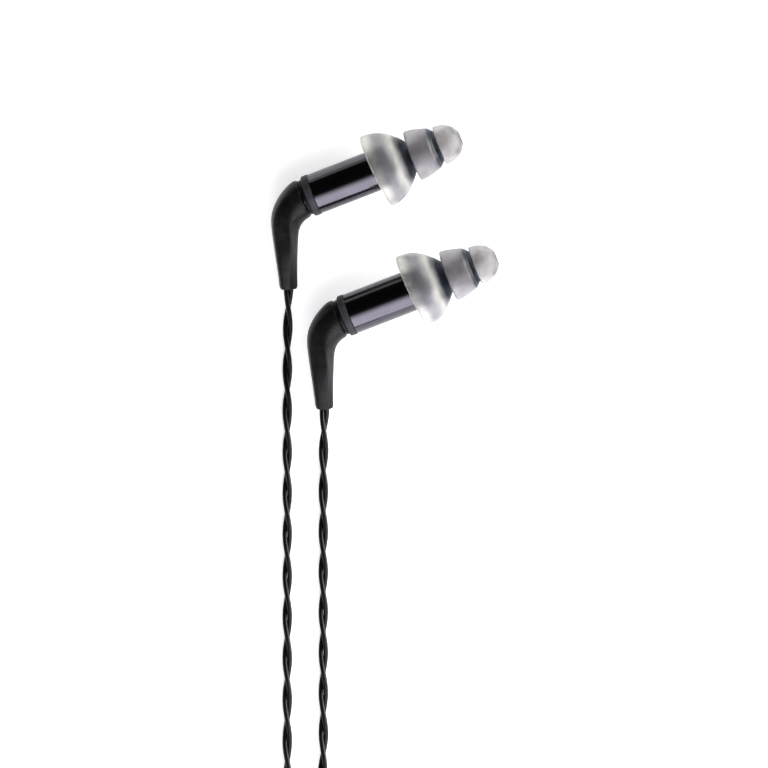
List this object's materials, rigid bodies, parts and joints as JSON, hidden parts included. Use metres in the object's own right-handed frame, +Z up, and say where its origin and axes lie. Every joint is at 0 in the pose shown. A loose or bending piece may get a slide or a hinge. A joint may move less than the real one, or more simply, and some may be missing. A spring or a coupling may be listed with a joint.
{
  "type": "wired earphones",
  "caption": "Wired in-ear earphones with triple-flange silicone tips, metal barrels, elbow boots, twisted pair leads and a 3.5 mm plug on a hanked cable.",
  "frame": {"origin": "centre of the footprint of the two earpieces, on the surface they lie on", "axes": "+X to the right and +Y up the cable towards the earpieces as they lie, +Z up from the surface"},
  "size_m": [0.0483, 0.211, 0.0123],
  "materials": {
    "silicone": "frosted translucent silicone",
    "anodised_black": "gloss black anodised",
    "cap_black": "satin black",
    "boot_black": "fine-grained matt black",
    "nozzle_black": "smooth blue-black",
    "receiver_steel": "drawn can",
    "gold": "gold plated",
    "insulator_white": "moulded",
    "gasket_grey": "moulded elastomer",
    "spring_bronze": "spring wire",
    "wire_copper": "enamelled copper",
    "filter_mesh": "fine screen",
    "cable_black": "smooth satin jacket",
    "strap_black": "woven hook-and-loop"
  },
  "bodies": {
    "cable_set": {"left_boot": "boot_black", "left_plug_shell": "gold", "left_plug_insulator": "insulator_white", "left_plug_pin": "gold", "right_boot": "boot_black", "right_plug_shell": "gold", "right_plug_insulator": "insulator_white", "right_plug_pin": "gold", "left_cord": "cable_black", "right_cord": "cable_black", "main_cord": "cable_black", "hank": "cable_black", "cord_tie": "strap_black", "splitter": "boot_black", "plug_grip": "cap_black", "plug_relief": "boot_black", "plug_sleeve": "gold", "plug_washer_rear": "insulator_white", "plug_ring": "gold", "plug_washer_front": "insulator_white", "plug_tip": "gold"},
    "left_swivel": {"left_snap_ring": "spring_bronze"},
    "left_earpiece": {"left_rear_cap": "cap_black", "left_jack_shell": "cap_black", "left_jack_insulator": "insulator_white", "left_jack_contact": "gold", "left_barrel": "anodised_black", "left_driver": "receiver_steel", "left_driver_mount": "gasket_grey", "left_wire_positive": "wire_copper", "left_wire_negative": "wire_copper", "left_nozzle": "nozzle_black", "left_sound_tube": "gasket_grey", "left_filter": "filter_mesh"},
    "left_tip": {"left_ear_tip": "silicone"},
    "right_swivel": {"right_snap_ring": "spring_bronze"},
    "right_earpiece": {"right_rear_cap": "cap_black", "right_jack_shell": "cap_black", "right_jack_insulator": "insulator_white", "right_jack_contact": "gold", "right_barrel": "anodised_black", "right_driver": "receiver_steel", "right_driver_mount": "gasket_grey", "right_wire_positive": "wire_copper", "right_wire_negative": "wire_copper", "right_nozzle": "nozzle_black", "right_sound_tube": "gasket_grey", "right_filter": "filter_mesh"},
    "right_tip": {"right_ear_tip": "silicone"},
    "slider": {"slider": "boot_black"}
  },
  "joints": [
    {"name": "left_turn", "type": "hinge", "parent": "cable_set", "child": "left_swivel", "pos_m": [-0.00679, 0.01374, 0.00551], "axis": [0.9285, 0.3564, 0.1045], "continuous": true},
    {"name": "left_unplug", "type": "slide", "parent": "left_swivel", "child": "left_earpiece", "axis": [0.9285, 0.3564, 0.1045], "range_m": [0, 0.004]},
    {"name": "left_tip_off", "type": "slide", "parent": "left_earpiece", "child": "left_tip", "axis": [0.9285, 0.3564, 0.1045], "range_m": [0, 0.012]},
    {"name": "right_turn", "type": "hinge", "parent": "cable_set", "child": "right_swivel", "pos_m": [-0.00094, -0.00575, 0.00551], "axis": [0.9285, 0.3564, 0.1045], "continuous": true},
    {"name": "right_unplug", "type": "slide", "parent": "right_swivel", "child": "right_earpiece", "axis": [0.9285, 0.3564, 0.1045], "range_m": [0, 0.004]},
    {"name": "right_tip_off", "type": "slide", "parent": "right_earpiece", "child": "right_tip", "axis": [0.9285, 0.3564, 0.1045], "range_m": [0, 0.012]},
    {"name": "slider_slide", "type": "slide", "parent": "cable_set", "child": "slider", "axis": [0, -1, 0], "range_m": [0, 0.018]}
  ]
}
